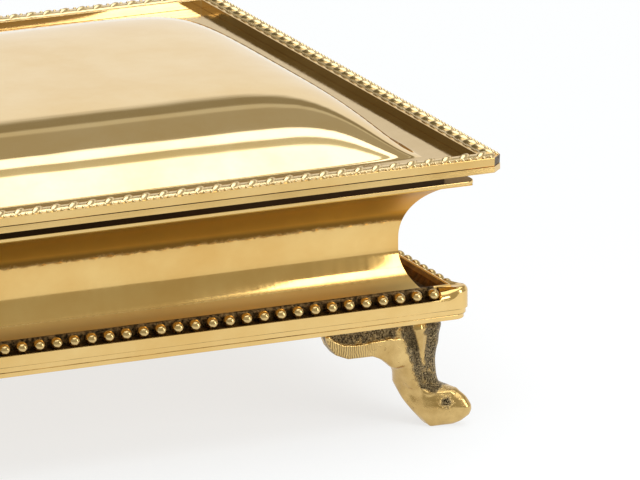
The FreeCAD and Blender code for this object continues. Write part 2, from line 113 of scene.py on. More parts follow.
def addNoise(tree, coords, scale, detail, rough=0.55):
    inputs = {"Vector": coords, "Scale": scale, "Detail": detail, "Roughness": rough}
    return addNode(tree, "TexNoise", inputs=inputs).outputs["Fac"]


def addRange(tree, value, low, high, newLow, newHigh):
    inputs = {"Value": value, "From Min": low, "From Max": high, "To Min": newLow, "To Max": newHigh}
    return addNode(tree, "MapRange", inputs=inputs).outputs["Result"]


def addShift(tree, noise, reach):
    return addRange(tree, noise, *noiseSpan, -reach, reach)


def byLevel(tree, height, levels, first, second):
    # first at the lower level, in mm, second at the upper one
    return addRange(tree, height, levels[0] * mm, levels[1] * mm, first, second)


def addMath(tree, operation, first, second):
    node = addNode(tree, "Math", {"operation": operation})
    for socket, value in zip(node.inputs, (first, second)):
        feed(tree, socket, value)
    return node.outputs["Value"]


def addMix(tree, factor, first, second):
    node = addNode(tree, "Mix", {"data_type": "RGBA"})
    for place, value in zip(mixInputs, (factor, first, second)):
        feed(tree, node.inputs[place], opaque(value) if isinstance(value, tuple) else value)
    return node.outputs[mixOutput]


def addShaderMix(tree, factor, first, second):
    node = addNode(tree, "MixShader", inputs={"Fac": factor})
    for socket, shader in zip(node.inputs[1:], (first, second)):
        tree.links.new(shader, socket)
    return node.outputs["Shader"]


def addBump(tree, height, distance, strength=1.0, normal=None):
    inputs = {"Height": height, "Distance": distance, "Strength": strength}
    if normal is not None:
        inputs["Normal"] = normal
    return addNode(tree, "Bump", inputs=inputs).outputs["Normal"]


def newMaterial(name):
    material = bpy.data.materials.new(name)
    material.use_nodes = True
    tree = material.node_tree
    return material, tree, tree.nodes["Principled BSDF"]


def objectCoords(tree, scale=None):
    coords = addNode(tree, "TexCoord").outputs["Object"]
    if scale is None:
        return coords
    return addNode(tree, "Mapping", inputs={"Vector": coords, "Scale": scale}).outputs["Vector"]


def splitCoords(tree, coords):
    return addNode(tree, "SeparateXYZ", inputs={"Vector": coords}).outputs


def readAttribute(tree, name):
    return addNode(tree, "Attribute", {"attribute_name": name}).outputs["Fac"]


def setShader(tree, shader, values):
    for name, value in values.items():
        feed(tree, shader.inputs[name], value)


def setMetal(tree, shader, colour, rough, normal=None, metallic=1.0):
    setShader(tree, shader, {"Base Color": colour, "Metallic": metallic, "Roughness": rough})
    if normal is not None:
        setShader(tree, shader, {"Normal": normal})


def inMetres(*lengths):
    return tuple(length * mm for length in lengths)


def resized(half, by):
    # half sizes, larger or smaller all round
    return tuple(length + by for length in half)


def onSides(prefix):
    return [prefix + side for side in sides]


def onlyVerts(geom):
    return [item for item in geom if isinstance(item, bmesh.types.BMVert)]


def onlyEdges(geom):
    return [item for item in geom if isinstance(item, bmesh.types.BMEdge)]


def everything(bm):
    return bm.verts[:] + bm.edges[:] + bm.faces[:]


def fixNormals(bm):
    ops.recalc_face_normals(bm, faces=bm.faces)


def toMesh(name, bm):
    mesh = bpy.data.meshes.new(name)
    bm.to_mesh(mesh)
    bm.free()
    return mesh


def addObject(name, data):
    thing = bpy.data.objects.new(name, data)
    bpy.context.scene.collection.objects.link(thing)
    return thing


def paintFaces(bm, materials, choose):
    for face in bm.faces:
        face.material_index = materials.index(choose(face))


def newPiece(name, bm, materials, body, nodes, sharpAngle=edgeLook["sharp"]):
    mesh = toMesh(name, bm)
    mesh.polygons.foreach_set("use_smooth", [True] * len(mesh.polygons))
    mesh.set_sharp_from_angle(angle=math.radians(sharpAngle))
    for material in materials:
        mesh.materials.append(material)
    piece = addObject(name, mesh)
    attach(piece, body)
    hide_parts(*nodes)
    return piece


def softenEdges(piece, width, seam=-1):
    # seam is the place of the edge's own material, if it has one
    bevel = piece.modifiers.new("softEdges", "BEVEL")
    bevel.material = seam
    bevel.width = width * mm
    bevel.segments = edgeLook["steps"]
    bevel.limit_method = "ANGLE"
    bevel.angle_limit = math.radians(edgeLook["sharp"])
    bevel.harden_normals = True


def smoothVerts(bm, verts, passes, axes, factor=0.5):
    moves = {"use_axis_" + axis: True for axis in axes}
    for _ in range(passes):
        ops.smooth_vert(bm, verts=verts, factor=factor, **moves)


def makeBall(cells, radius=1.0):
    ball = bmesh.new()
    ops.create_uvsphere(ball, u_segments=cells[0], v_segments=cells[1], radius=radius)
    return ball


def addCopies(bm, shape, matrices):
    seed = toMesh("seed", shape)
    for matrix in matrices:
        one = seed.copy()
        one.transform(matrix)
        bm.from_mesh(one)
        bpy.data.meshes.remove(one)
    bpy.data.meshes.remove(seed)


def standOnSide(number, along, out, level):
    # along a side from its middle, out from the box's middle, and up
    turn = Matrix.Rotation(number * quarter, 4, "Z")
    return turn @ Matrix.Translation(Vector((along, -out, level)) * mm)


# finishes: noises are given as scale per metre, detail and roughness

# sheet brass: two colours, roughness, height of its waves, stretch of its streaks
brassLook = {
    "mirrorBrass": ((0.88, 0.69, 0.40), (0.83, 0.61, 0.30), (0.025, 0.06), 0.00004, (30.0, 700.0, 700.0)),
    "marginBrass": ((0.68, 0.50, 0.25), (0.58, 0.41, 0.17), (0.07, 0.16), 0.00012, (30.0, 700.0, 700.0)),
    "polishedBrass": ((0.80, 0.57, 0.24), (0.72, 0.47, 0.165), (0.07, 0.16), 0.00012, (30.0, 700.0, 700.0)),
    "longWallBrass": ((0.78, 0.53, 0.20), (0.70, 0.43, 0.135), (0.06, 0.14), 0.00016, (800.0, 25.0, 25.0)),
    "shortWallBrass": ((0.78, 0.53, 0.20), (0.70, 0.43, 0.135), (0.06, 0.14), 0.00016, (25.0, 800.0, 25.0)),
}
sheetLook = {
    "stain": (45.0, 5.0, 0.6), "stainStops": (0.35, 0.65), "streaks": (1.0, 3.0),
    "streakHeight": 0.000004, "waves": (55.0, 1.0), "rubbed": (0.12, 0.42),
}
# what the walls have besides, with levels in mm
wallLook = {
    "ragged": (700.0, 4.0, 0.7), "raggedShift": 0.5, "dullLevels": (43.3, 43.9),
    "dullRough": 0.28, "dullMetal": 0.78, "coveLevels": (43.0, 53.0),
    # colours up the cove, from its foot to the flange: tarnish, with a painted dark reflection at its foot
    # and painted shade darkening under the flange
    "cove": [
        (0.0, (0.22, 0.11, 0.018)),
        (0.14, (0.30, 0.15, 0.02)),
        (0.24, (0.72, 0.36, 0.045)),
        (0.6, (0.74, 0.37, 0.045)),
        (0.95, (0.40, 0.22, 0.035)),
    ],
    # painted shade: browner towards the flare's foot beside the pearls
    "brownLevels": (29.7, 31.7), "brownShare": 0.9, "brown": (0.48, 0.345, 0.14),
    "mattLevels": (30.5, 32.2), "mattRough": 0.34,
}


def tarnishAndShadeWall(tree, coords, colour, rough):
    # tarnished and duller in the cove, from a ragged line up, its colours also painting a dark reflection
    # at its foot and shade under the flange; browner as painted shade and duller beside the pearls
    height = splitCoords(tree, coords)["Z"]
    ragged = addShift(tree, addNoise(tree, coords, *wallLook["ragged"]), wallLook["raggedShift"] * mm)
    dull = byLevel(tree, addMath(tree, "ADD", height, ragged), wallLook["dullLevels"], 0.0, 1.0)
    # painted shade towards the flare's foot
    brown = byLevel(tree, height, wallLook["brownLevels"], wallLook["brownShare"], 0.0)
    colour = addMix(tree, brown, colour, wallLook["brown"])
    climb = byLevel(tree, height, wallLook["coveLevels"], 0.0, 1.0)
    colour = addMix(tree, dull, colour, addRamp(tree, climb, wallLook["cove"]))
    rough = addMath(tree, "ADD", rough, addMath(tree, "MULTIPLY", dull, wallLook["dullRough"]))
    matt = byLevel(tree, height, wallLook["mattLevels"], wallLook["mattRough"], 0.0)
    rough = addMath(tree, "ADD", rough, matt)
    metallic = addRange(tree, dull, 0.0, 1.0, 1.0, wallLook["dullMetal"])
    return colour, rough, metallic


def makeBrass(name):
    pale, deep, roughness, waveHeight, stretch = brassLook[name]
    material, tree, shader = newMaterial(name)
    coords = objectCoords(tree)
    stain = addNoise(tree, coords, *sheetLook["stain"])
    streaks = addNoise(tree, objectCoords(tree, stretch), *sheetLook["streaks"])
    waves = addNoise(tree, coords, *sheetLook["waves"])
    colour = addBlend(tree, stain, sheetLook["stainStops"], (deep, pale))
    rubbed = addMath(tree, "MULTIPLY", stain, streaks)
    rough = addRange(tree, rubbed, *sheetLook["rubbed"], *roughness)
    metallic = 1.0
    if "Wall" in name:
        colour, rough, metallic = tarnishAndShadeWall(tree, coords, colour, rough)
    normal = addBump(tree, waves, waveHeight)
    normal = addBump(tree, streaks, sheetLook["streakHeight"], 1.0, normal)
    setMetal(tree, shader, colour, rough, normal, metallic)
    return material


# patina, darker brass and painted shade: dark and bronze colour, scale of its grain, roughness
patinaAndShadeLook = {
    "channelPatina": ((0.020, 0.013, 0.007), (0.30, 0.19, 0.08), 1300.0, 0.42),
    # darker brass in the trough between the ridge and the wall
    "troughDarkBrass": ((0.045, 0.025, 0.009), (0.22, 0.12, 0.042), 260.0, 0.32),
    # painted shade: the lid panel's underside, darkened as if in shade
    "shadedBrass": ((0.13, 0.085, 0.038), (0.23, 0.15, 0.066), 120.0, 0.42),
    "slopePatina": ((0.20, 0.13, 0.055), (0.42, 0.29, 0.13), 260.0, 0.30),
    # painted dark reflection: the facets of the lid rim's cut corners
    "shadedCornerFacet": ((0.085, 0.058, 0.030), (0.26, 0.18, 0.09), 900.0, 0.40),
}
patinaAndShadeGrain = {
    "detail": (4.0, 0.7), "stops": (0.40, 0.72), "height": 0.0002,
}


def makePatinaAndShade(name):
    dark, bronze, scale, rough = patinaAndShadeLook[name]
    material, tree, shader = newMaterial(name)
    grain = addNoise(tree, objectCoords(tree), scale, *patinaAndShadeGrain["detail"])
    colour = addBlend(tree, grain, patinaAndShadeGrain["stops"], (dark, bronze))
    setMetal(tree, shader, colour, rough, addBump(tree, grain, patinaAndShadeGrain["height"]))
    return material


seamLook = {
    "patches": (70.0, 4.0, 0.7), "stops": (0.42, 0.62), "dirt": (0.035, 0.02, 0.008),
    "brass": (0.72, 0.47, 0.165), "rough": (0.4, 0.6, 0.6, 0.2),
}


def makeSeamBrass():
    # dirt in the joints between the sheets, broken along their length
    material, tree, shader = newMaterial("seamBrass")
    patches = addNoise(tree, objectCoords(tree), *seamLook["patches"])
    colour = addBlend(tree, patches, seamLook["stops"], (seamLook["dirt"], seamLook["brass"]))
    setMetal(tree, shader, colour, addRange(tree, patches, *seamLook["rough"]))
    return material


# chased brass: levels in mm between which it turns from dark to pale, and both colours
chasedLook = {
    "pearlBrass": ((27.5, 28.2), (0.06, 0.037, 0.017), (0.62, 0.44, 0.19)),
    "ropeBrass": ((59.15, 59.6), (0.10, 0.065, 0.027), (0.82, 0.64, 0.36)),
    # painted shade: a darker copy for the pearls along the ends, pale only on their crowns
    "shadedEndPearlBrass": ((28.0, 29.8), (0.05, 0.032, 0.015), (0.55, 0.40, 0.18)),
}
chasedGrain = {
    "noise": (900.0, 3.0, 0.65), "shift": 0.25, "stops": (0.1, 0.5),
    "rough": (0.1, 0.7, 0.5, 0.2), "height": 0.00005,
}


def makeChasedBrass(name):
    # bright on the crowns, tarnished down in the gaps; on the end pearls the dark reaches up to the crowns
    # as painted shade
    levels, dark, pale = chasedLook[name]
    material, tree, shader = newMaterial(name)
    coords = objectCoords(tree)
    grain = addNoise(tree, coords, *chasedGrain["noise"])
    climb = byLevel(tree, splitCoords(tree, coords)["Z"], levels, 0.0, 1.0)
    worn = addMath(tree, "ADD", climb, addShift(tree, grain, chasedGrain["shift"]))
    colour = addBlend(tree, worn, chasedGrain["stops"], (dark, pale))
    rough = addRange(tree, worn, *chasedGrain["rough"])
    setMetal(tree, shader, colour, rough, addBump(tree, grain, chasedGrain["height"]))
    return material


castLook = {
    "pale": (0.70, 0.49, 0.20), "deep": (0.52, 0.34, 0.12), "black": (0.048, 0.035, 0.021),
    "speck": (0.74, 0.57, 0.31), "stain": (160.0, 4.0, 0.6), "stainStops": (0.35, 0.62),
    "ragged": (900.0, 3.0, 0.7), "raggedShift": 0.35, "wear": (300.0, 3.0, 0.6),
    "wearRange": (0.52, 0.72, 0.0, -0.6), "grainRange": (0.22, 0.82, 0.0, 1.0),
    "sand": (3200.0, 4.0, 0.7), "sandStops": (0.44, 0.68), "sandShare": (0.05, 1.0),
    "sandHeight": 0.0005, "rough": (0.2, 0.36),
    # file marks: radians of their wave per metre, and how far it strays
    "strokes": 12500.0, "stray": (420.0, 3.0), "strayShift": 3.0,
    "cutRange": (-0.3, 0.5, 0.0, 1.0), "cutHeight": 0.00012, "cutShare": 0.65,
    "cut": (0.085, 0.05, 0.02),
}


def addCastGrain(tree, coords):
    # the attribute castGrain, with ragged edges and worn spots
    ragged = addShift(tree, addNoise(tree, coords, *castLook["ragged"]), castLook["raggedShift"])
    wear = addRange(tree, addNoise(tree, coords, *castLook["wear"]), *castLook["wearRange"])
    amount = addMath(tree, "ADD", addMath(tree, "ADD", readAttribute(tree, "castGrain"), ragged), wear)
    return addRange(tree, amount, *castLook["grainRange"])


def addFileMarks(tree, coords):
    # straying strokes where the attribute fileMarks is high
    place = splitCoords(tree, coords)
    along = addMath(tree, "ADD", place["X"], place["Y"])
    stray = addShift(tree, addNoise(tree, coords, *castLook["stray"]), castLook["strayShift"])
    strokes = addMath(tree, "ADD", addMath(tree, "MULTIPLY", along, castLook["strokes"]), stray)
    cuts = addRange(tree, addMath(tree, "SINE", strokes, 0.0), *castLook["cutRange"])
    return addMath(tree, "MULTIPLY", cuts, readAttribute(tree, "fileMarks"))


def makeCastBrass():
    # polished on the edges, dark and grainy in the hollows, filed on the wings' borders
    material, tree, shader = newMaterial("castBrass")
    coords = objectCoords(tree)
    grain = addCastGrain(tree, coords)
    cuts = addFileMarks(tree, coords)
    stain = addNoise(tree, coords, *castLook["stain"])
    smooth = addBlend(tree, stain, castLook["stainStops"], (castLook["deep"], castLook["pale"]))
    sand = addNoise(tree, coords, *castLook["sand"])
    sandy = addBlend(tree, sand, castLook["sandStops"], (castLook["black"], castLook["speck"]))
    colour = addMix(tree, grain, smooth, sandy)
    shade = addMath(tree, "MULTIPLY", cuts, castLook["cutShare"])
    colour = addMix(tree, shade, colour, castLook["cut"])
    rough = addRange(tree, grain, 0.0, 1.0, *castLook["rough"])
    sandHeight = addMath(tree, "MULTIPLY", sand, addRange(tree, grain, 0.0, 1.0, *castLook["sandShare"]))
    normal = addBump(tree, sandHeight, castLook["sandHeight"])
    normal = addBump(tree, cuts, castLook["cutHeight"], -1.0, normal)
    setMetal(tree, shader, colour, rough, normal)
    return material


# dark-stained wood, its colours darkened further as painted shade for the gap under the lid
woodLook = {
    "pale": (0.115, 0.055, 0.026), "dark": (0.040, 0.018, 0.009), "grain": (1.0, 6.0, 0.6),
    "grainStretch": (14.0, 160.0, 160.0), "rough": (0.42, 0.58), "pores": (1.0, 2.0),
    "poreStretch": (90.0, 1600.0, 1600.0), "poreRange": (0.55, 0.7, 0.0, 0.6),
    "poreHeight": 0.00008, "pore": (0.018, 0.008, 0.004),
}


def makeShadeDarkenedLiningWood():
    material, tree, shader = newMaterial("shadeDarkenedLiningWood")
    grain = addNoise(tree, objectCoords(tree, woodLook["grainStretch"]), *woodLook["grain"])
    pores = addNoise(tree, objectCoords(tree, woodLook["poreStretch"]), *woodLook["pores"])
    colour = addBlend(tree, grain, noiseSpan, (woodLook["dark"], woodLook["pale"]))
    colour = addMix(tree, addRange(tree, pores, *woodLook["poreRange"]), colour, woodLook["pore"])
    normal = addBump(tree, pores, woodLook["poreHeight"], -1.0)
    rough = addRange(tree, grain, *noiseSpan, *woodLook["rough"])
    setShader(tree, shader, {"Base Color": colour, "Roughness": rough, "Normal": normal})
    return material


mirrorBrass, marginBrass, polishedBrass, longWallBrass, shortWallBrass = map(makeBrass, brassLook)
channelPatina, troughDarkBrass, shadedBrass, slopePatina, shadedCornerFacet = map(makePatinaAndShade, patinaAndShadeLook)
pearlBrass, ropeBrass, shadedEndPearlBrass = map(makeChasedBrass, chasedLook)
seamBrass = makeSeamBrass()
castBrass = makeCastBrass()
shadeDarkenedLiningWood = makeShadeDarkenedLiningWood()
print("finishes ready")


# rings round the box: stations go round each corner, rows go along the section

# the next stations' way past a corner, its least bend and least run to a mitre in mm; its steps
ring = {
    "past": 0.4, "leastBend": 0.12, "leastRun": 0.2, "cornerSteps": 6,
}


def arcStations(steps):
    return [("arc", step / steps) for step in range(steps + 1)]


def roundStations(radius):
    # a rounded corner between stations that keep the straight sides flat
    run = radius + ring["past"]
    return [("before", run)] + arcStations(ring["cornerSteps"]) + [("after", run)]


def ringPoint(corner, station, inset, half, radius):
    kind, value = station
    long, short = half if corner % 2 == 0 else half[::-1]
    run = max(value, inset + ring["leastRun"])
    if kind == "arc":
        bend = max(radius - inset, ring["leastBend"])
        angle = value * quarter
        spot = (long - inset - bend + bend * math.cos(angle), short - inset - bend + bend * math.sin(angle))
    elif kind == "before":
        spot = (long - inset, short - run)
    else:
        spot = (long - run, short - inset)
    return Matrix.Rotation(corner * quarter, 2) @ Vector(spot)


def stackRings(rings):
    # joins rings of points in turn; also gives the first and the last ring's edges
    bm = bmesh.new()
    tag = bm.verts.layers.int.new("station")
    verts = ops.create_circle(bm, cap_ends=False, segments=len(rings[0]), radius=1.0)["verts"]
    for index, vert in enumerate(verts):
        vert[tag] = index
    first = last = list(bm.edges)
    for number, spots in enumerate(rings):
        if number:
            grown = ops.extrude_edge_only(bm, edges=last)["geom"]
            verts = onlyVerts(grown)
            last = onlyEdges(grown)
        for vert in verts:
            vert.co = spots[vert[tag]]
    return bm, first, last


def sweepRows(half, radius, stations, rows):
    # rows give (inset, level), or a function of the station that gives them
    rings = []
    for row in rows:
        spots = []
        for corner in range(4):
            for station in stations:
                inset, level = row(station) if callable(row) else row
                spot = ringPoint(corner, station, inset, half, radius)
                spots.append(inMetres(spot.x, spot.y, level))
        rings.append(spots)
    return stackRings(rings)


def sweepRing(half, radius, stations, rows):
    bm, first, last = sweepRows(half, radius, stations, rows)
    ops.bridge_loops(bm, edges=first + last)
    fixNormals(bm)
    return bm


def makeSlab(half, radius, low, high):
    bm, first, last = sweepRows(half, radius, roundStations(radius), [(0.0, low), (0.0, high)])
    for edges in (first, last):
        ops.contextual_create(bm, geom=edges)
    fixNormals(bm)
    return bm


# lid panel: a flat sheet with a pressed pillow dome

dome = {
    "foot": (92.0, 62.0), "low": 56.1, "rise": 9.79, "powers": (16, 4), "cells": (300, 200),
    "crowding": 0.25, "softening": 2,
}


def pressDome(bm):
    crowding = dome["crowding"]
    for vert in bm.verts:
        # closer cells towards the steep edges
        vert.co.x *= 1.0 + crowding - crowding * vert.co.x ** 2
        vert.co.y *= 1.0 + crowding - crowding * vert.co.y ** 2
    ops.scale(bm, vec=(*inMetres(*lidHalf), 1.0), verts=bm.verts)
    for vert in bm.verts:
        across = min(abs(vert.co.x) / (dome["foot"][0] * mm), 1.0)
        deep = min(abs(vert.co.y) / (dome["foot"][1] * mm), 1.0)
        swell = (1.0 - across ** dome["powers"][0]) * (1.0 - deep ** dome["powers"][1])
        vert.co.z = (lidTop + dome["rise"] * swell) * mm
    inner = [vert for vert in bm.verts if not vert.is_boundary]
    smoothVerts(bm, inner, dome["softening"], "z")


def cutCorner(bm, signX, signY):
    # takes a lid corner off at 45 degrees and closes the cut
    spot = inMetres(signX * (lidHalf[0] - lidCorner / 2), signY * (lidHalf[1] - lidCorner / 2), 0.0)
    plane = {"plane_co": spot, "plane_no": (signX, signY, 0.0)}
    cut = ops.bisect_plane(bm, geom=everything(bm), clear_outer=True, **plane)["geom_cut"]
    ops.contextual_create(bm, geom=onlyEdges(cut))


def domeLook(face):
    centre = face.calc_center_median()
    # faces looking down take the painted shade
    if face.normal.z < -facing["most"]:
        return shadedBrass
    if abs(centre.x) < dome["foot"][0] * mm and abs(centre.y) < dome["foot"][1] * mm:
        return mirrorBrass
    return marginBrass if face.normal.z > facing["half"] else polishedBrass


def makeDome():
    bm = bmesh.new()
    ops.create_grid(bm, x_segments=dome["cells"][0], y_segments=dome["cells"][1], size=1.0)
    pressDome(bm)
    border = [edge for edge in bm.edges if edge.is_boundary]
    grown = ops.extrude_edge_only(bm, edges=border)["geom"]
    ops.translate(bm, vec=inMetres(0.0, 0.0, dome["low"] - lidTop), verts=onlyVerts(grown))
    ops.contextual_create(bm, geom=onlyEdges(grown))
    for signX, signY in corners.values():
        cutCorner(bm, signX, signY)
    fixNormals(bm)
    materials = [mirrorBrass, marginBrass, shadedBrass, polishedBrass]
    paintFaces(bm, materials, domeLook)
    newPiece("domePanel", bm, materials, "lid", ["lid_panel"])


makeDome()
print("dome panel made")


# lid rim: four mitred strips on the sheet's edge

rim = {
    "edge": 0.2, "sharp": 30.0, "width": 4.5, "seam": 0.16, "lean": 0.08,
    # farther out than this, a turned face belongs to the cut corner
    "outside": 137.0,
}


def rimLook(face):
    centre = face.calc_center_median()
    upright = abs(face.normal.z) < facing["little"]
    turned = upright and abs(abs(face.normal.x) - abs(face.normal.y)) < facing["little"]
    # the cut corner's facet takes a painted dark reflection
    if turned and centre.length > rim["outside"] * mm:
        return shadedCornerFacet
    if -facing["most"] < face.normal.z < -facing["some"]:
        return seamBrass
    if upright and face.normal.dot(centre) < 0.0:
        return mirrorBrass
    return polishedBrass


def makeRim():
    width, seam, lean = rim["width"], rim["seam"], rim["lean"]
    rows = [(seam + lean, lidTop), (lean, lidTop + seam), (0.0, rimTop), (width, rimTop), (width, lidTop)]
    bm = sweepRing(lidHalf, lidCorner, arcStations(1), rows)
    materials = [polishedBrass, shadedCornerFacet, seamBrass, mirrorBrass]
    paintFaces(bm, materials, rimLook)
    nodes = onSides("lid_rim_")
    piece = newPiece("lidRim", bm, materials, "lid", nodes, rim["sharp"])
    softenEdges(piece, rim["edge"])


makeRim()
print("lid rim made")


# rope border on the rim: leaning lumps on a half-round wire, and small grains outside them

rope = {
    "inset": 1.0, "width": 2.6, "coreRise": 0.4, "coreSteps": 6, "lumpRise": 0.95,
    "lumpCells": (10, 6), "lumpEndGap": 4.2, "pitch": 4.0, "length": 3.9, "thick": 1.7,
    "taper": 0.3, "lean": 33.0, "grainInset": 0.62, "grainPitch": 1.6, "grainSize": 0.9,
    "grainCells": (8, 5), "grainEndGap": 3.0, "sharp": 60.0,
}


def alongSides(inset, endGap, pitch):
    for corner in range(4):
        long, short = lidHalf if corner % 2 else lidHalf[::-1]
        run = 2 * (long - endGap)
        steps = round(run / pitch)
        for step in range(steps + 1):
            yield standOnSide(corner + 1, run / 2 - run * step / steps, short - inset, rimTop)


def makeLump():
    # half a leaf: flat below, broad at one end and narrow at the other
    lump = makeBall(rope["lumpCells"])
    for vert in lump.verts:
        vert.co.y *= 1.0 - rope["taper"] * vert.co.x
    size = inMetres(rope["length"] / 2, rope["thick"] / 2, rope["lumpRise"])
    ops.scale(lump, vec=size, verts=lump.verts)
    turn = Matrix.Rotation(math.radians(rope["lean"]), 3, "Z")
    ops.rotate(lump, cent=(0, 0, 0), matrix=turn, verts=lump.verts)
    plane = {"plane_co": (0, 0, 0), "plane_no": (0, 0, -1)}
    ops.bisect_plane(lump, geom=everything(lump), clear_outer=True, **plane)
    return lump


def makeRope():
    core = rope["width"] / 2
    rows = []
    for step in range(rope["coreSteps"] + 1):
        angle = math.pi * step / rope["coreSteps"]
        inset = rope["inset"] + core * (1 - math.cos(angle))
        rows.append((inset, rimTop + rope["coreRise"] * math.sin(angle)))
    bm = sweepRing(lidHalf, lidCorner, arcStations(1), rows)
    addCopies(bm, makeLump(), alongSides(rope["inset"] + core, rope["lumpEndGap"], rope["pitch"]))
    grain = makeBall(rope["grainCells"], rope["grainSize"] / 2 * mm)
    addCopies(bm, grain, alongSides(rope["grainInset"], rope["grainEndGap"], rope["grainPitch"]))
    nodes = onSides("lid_rope_")
    newPiece("lidRope", bm, [ropeBrass], "lid", nodes, rope["sharp"])


makeRope()
print("rope border made")


# walls: a cove above the waist and a flare below it, one bent sheet a side, mitred

walls = {
    "waistInset": 11.7, "flareRadius": 12.15, "flareDrop": 9.6, "waistLow": 37.4,
    "waistHigh": 39.4, "coveRadius": 13.07, "coveRise": 13.0, "lip": 0.3, "sheet": 1.0,
    "arcSteps": 22, "mitre": 0.25, "mitreSteps": 2, "longFacing": 0.1, "sharp": 20.0,
}


def bentRow(level, radius, angle):
    # a row on an arc that leaves the upright waist at this level
    return (walls["waistInset"] - radius * (1 - math.cos(angle)), level + radius * math.sin(angle))


def wallLookOf(face):
    return longWallBrass if abs(face.normal.x) < walls["longFacing"] else shortWallBrass


def makeWalls():
    steps = walls["arcSteps"]
    shares = [step / steps for step in range(steps + 1)]
    flareAngle = math.asin(walls["flareDrop"] / walls["flareRadius"])
    coveAngle = math.asin(walls["coveRise"] / walls["coveRadius"])
    rows = [bentRow(walls["waistLow"], walls["flareRadius"], flareAngle * (share - 1)) for share in shares]
    rows += [bentRow(walls["waistHigh"], walls["coveRadius"], coveAngle * share) for share in shares]
    rows.append((0.0, walls["waistHigh"] + walls["coveRise"] + walls["lip"]))
    bm = sweepRows(baseHalf, walls["mitre"], arcStations(walls["mitreSteps"]), rows)[0]
    fixNormals(bm)
    materials = [longWallBrass, shortWallBrass]
    paintFaces(bm, materials, wallLookOf)
    nodes = onSides("wall_")
    piece = newPiece("boxWalls", bm, materials, "box", nodes, walls["sharp"])
    shell = piece.modifiers.new("sheet", "SOLIDIFY")
    shell.thickness = walls["sheet"] * mm
    shell.offset = -1.0


makeWalls()
print("walls made")


# flat plates: the flange under the lid, the floor plate and the plate under it

plates = {
    "flangeHalf": resized(baseHalf, 0.5), "flangeMouth": 17.7, "flangeLow": 52.7,
    "flangeHigh": 53.5, "flangeCorner": 2.0, "flangeEdge": 0.15,
    "floorHalf": resized(baseHalf, -0.3), "underHalf": resized(baseHalf, -0.6), "edge": 0.16,
}


def makePlates():
    low, high, mouth = plates["flangeLow"], plates["flangeHigh"], plates["flangeMouth"]
    rows = [(0.0, low), (0.0, high), (mouth, high), (mouth, low)]
    corner = plates["flangeCorner"]
    bm = sweepRing(plates["flangeHalf"], corner, roundStations(corner), rows)
    flange = newPiece("mouthFlange", bm, [polishedBrass], "box", ["top_flange"])
    softenEdges(flange, plates["flangeEdge"])
    bm = makeSlab(plates["floorHalf"], baseCorner, floorLow, floorTop)
    materials = [polishedBrass, seamBrass]
    floorPlate = newPiece("floorPlate", bm, materials, "box", ["base_plate"])
    softenEdges(floorPlate, plates["edge"], materials.index(seamBrass))
    bm = makeSlab(plates["underHalf"], baseCorner, footTop, floorLow)
    underPlate = newPiece("underPlate", bm, [polishedBrass], "box", ["bottom_plate"])
    softenEdges(underPlate, plates["edge"])


makePlates()
print("plates made")


# base moulding: face, pearl channel and ridge; the channel is filled at the corners by a curled lip

moulding = {
    "sharp": 32.0, "face": 28.2,
    # from face to ridge: inset and rise in the channel; then, in the filled corner, the share of the way
    # to the lip, or past it to the ridge, and of the climb to the ridge
    "channelRows": [
        (0.0, -0.4, 0.0, -0.15),
        (0.0, -0.1, 0.0, 0.0),
        (0.12, 0.0, 0.1, 0.25),
        (0.5, 0.0, 0.3, 0.55),
        (1.2, -0.05, 0.55, 0.78),
        (2.0, -0.05, 0.8, 0.93),
        (2.9, 0.0, 1.0, 1.0),
        (3.1, 1.1, 1.5, 1.0),
        (3.3, 2.0, 2.0, 1.0),
    ],
    "channel": 2.9, "ridgeFoot": 3.3, "ridgeTop": 30.4, "crest": 3.9, "crestEdge": 0.2,
    "slopeMiddle": 4.4, "slopeLevel": 29.3, "ledgeStart": 5.2, "ledge": 27.8, "inner": 9.7,
    # run from the corner to the channel's end; inset and level of the lip by its run
    "channelEnd": 7.4,
    "lips": {6.9: (2.7, 28.1), 5.4: (2.2, 28.1), 4.2: (1.6, 28.4)},
    "lipCorner": (0.75, 29.4), "lipFall": 0.25,
    # dark: the channel from this inset on between these levels, the trough above this level
    "darkInset": 0.3, "darkLevels": (27.9, 29.9), "troughLow": 27.7,
}


def channelRow(inset, rise, share, climb):
    # a row that is plain in the channel and follows the curled lip near the corner
    top = moulding["ridgeTop"]

    def spot(station):
        kind, run = station
        if kind != "arc" and run >= moulding["channelEnd"]:
            return (inset, moulding["face"] + rise)
        lipInset, lipLevel = moulding["lipCorner"] if kind == "arc" else moulding["lips"][run]
        if share > 1.0:
            past = share - 1.0
            return (lipInset + (moulding["ridgeFoot"] - lipInset) * past, top - moulding["lipFall"] * past)
        return (lipInset * share, lipLevel + (top - lipLevel) * climb)
    return spot


def mouldingLook(face):
    m = moulding
    centre = face.calc_center_median() / mm
    runs = (baseHalf[0] - abs(centre.x), baseHalf[1] - abs(centre.y))
    near = min(runs)
    alongFront = runs[1] < runs[0]
    low, high = m["darkLevels"]
    inChannel = m["darkInset"] < near < m["ridgeFoot"] and low < centre.z < high
    onRidge = alongFront and m["channel"] < near < m["crest"] and centre.z > m["face"]
    if max(runs) > m["channelEnd"] and (inChannel or onRidge):
        return channelPatina
    if near > m["slopeMiddle"] and m["troughLow"] < centre.z < m["slopeLevel"]:
        return troughDarkBrass
    if near > m["crest"] and centre.z > m["slopeLevel"]:
        return slopePatina
    return polishedBrass


